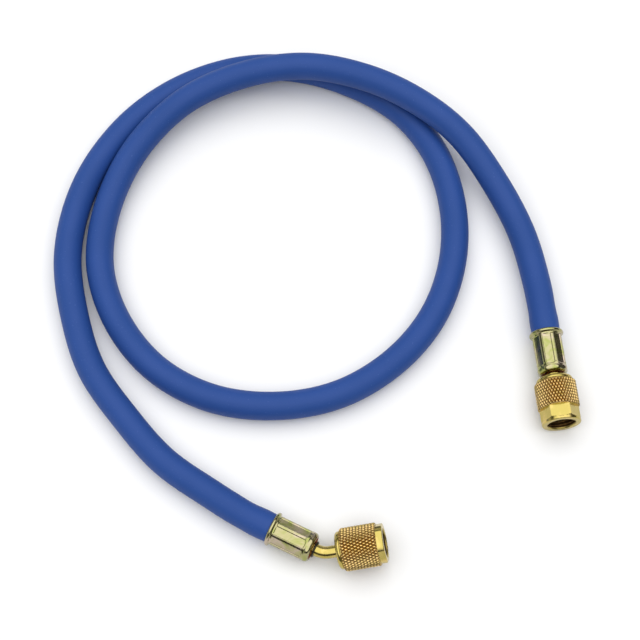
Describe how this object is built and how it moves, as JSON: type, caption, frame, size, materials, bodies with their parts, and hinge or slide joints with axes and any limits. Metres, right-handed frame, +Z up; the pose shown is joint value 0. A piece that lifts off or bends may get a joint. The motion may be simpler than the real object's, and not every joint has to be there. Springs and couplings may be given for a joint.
{
  "type": "refrigerant charging hose",
  "caption": "Rubber refrigerant charging hose laid in a loose loop, with crimped ferrules and a knurled brass swivel nut on a bent stem at one end and on a straight stem at the other.",
  "frame": {"origin": "on the floor, under the middle of the footprint of the two end fittings, measured without the hose", "axes": "+Z up from the floor that the hose lies on; +X from the angled end towards the straight end; +Y towards the far side of the loop"},
  "size_m": [0.2042, 0.2202, 0.0226],
  "materials": {
    "blue_rubber": "satin blue rubber cover",
    "plated_steel": "bright yellow zinc plating, faintly iridescent",
    "stem_brass": "bright turned brass",
    "nut_brass": "bright brass, diamond knurl on the grip",
    "black_rubber": "matte black seal rubber"
  },
  "bodies": {
    "hose_assembly": {"hose": "blue_rubber", "angled_ferrule": "plated_steel", "angled_stem": "stem_brass", "angled_gasket": "black_rubber", "core_depressor": "stem_brass", "straight_ferrule": "plated_steel", "straight_stem": "stem_brass", "straight_gasket": "black_rubber"},
    "angled_swivel": {"angled_nut": "nut_brass"},
    "straight_swivel": {"straight_nut": "nut_brass"}
  },
  "joints": [
    {"name": "angled_nut_spin", "type": "hinge", "parent": "hose_assembly", "child": "angled_swivel", "pos_m": [-0.02346, -0.03828, 0.00937], "axis": [0.9752, 0.1187, 0.1867], "continuous": true},
    {"name": "straight_nut_spin", "type": "hinge", "parent": "hose_assembly", "child": "straight_swivel", "pos_m": [0.05154, 0.01896, 0.008], "axis": [0.1075, -0.9942, 0], "continuous": true}
  ]
}
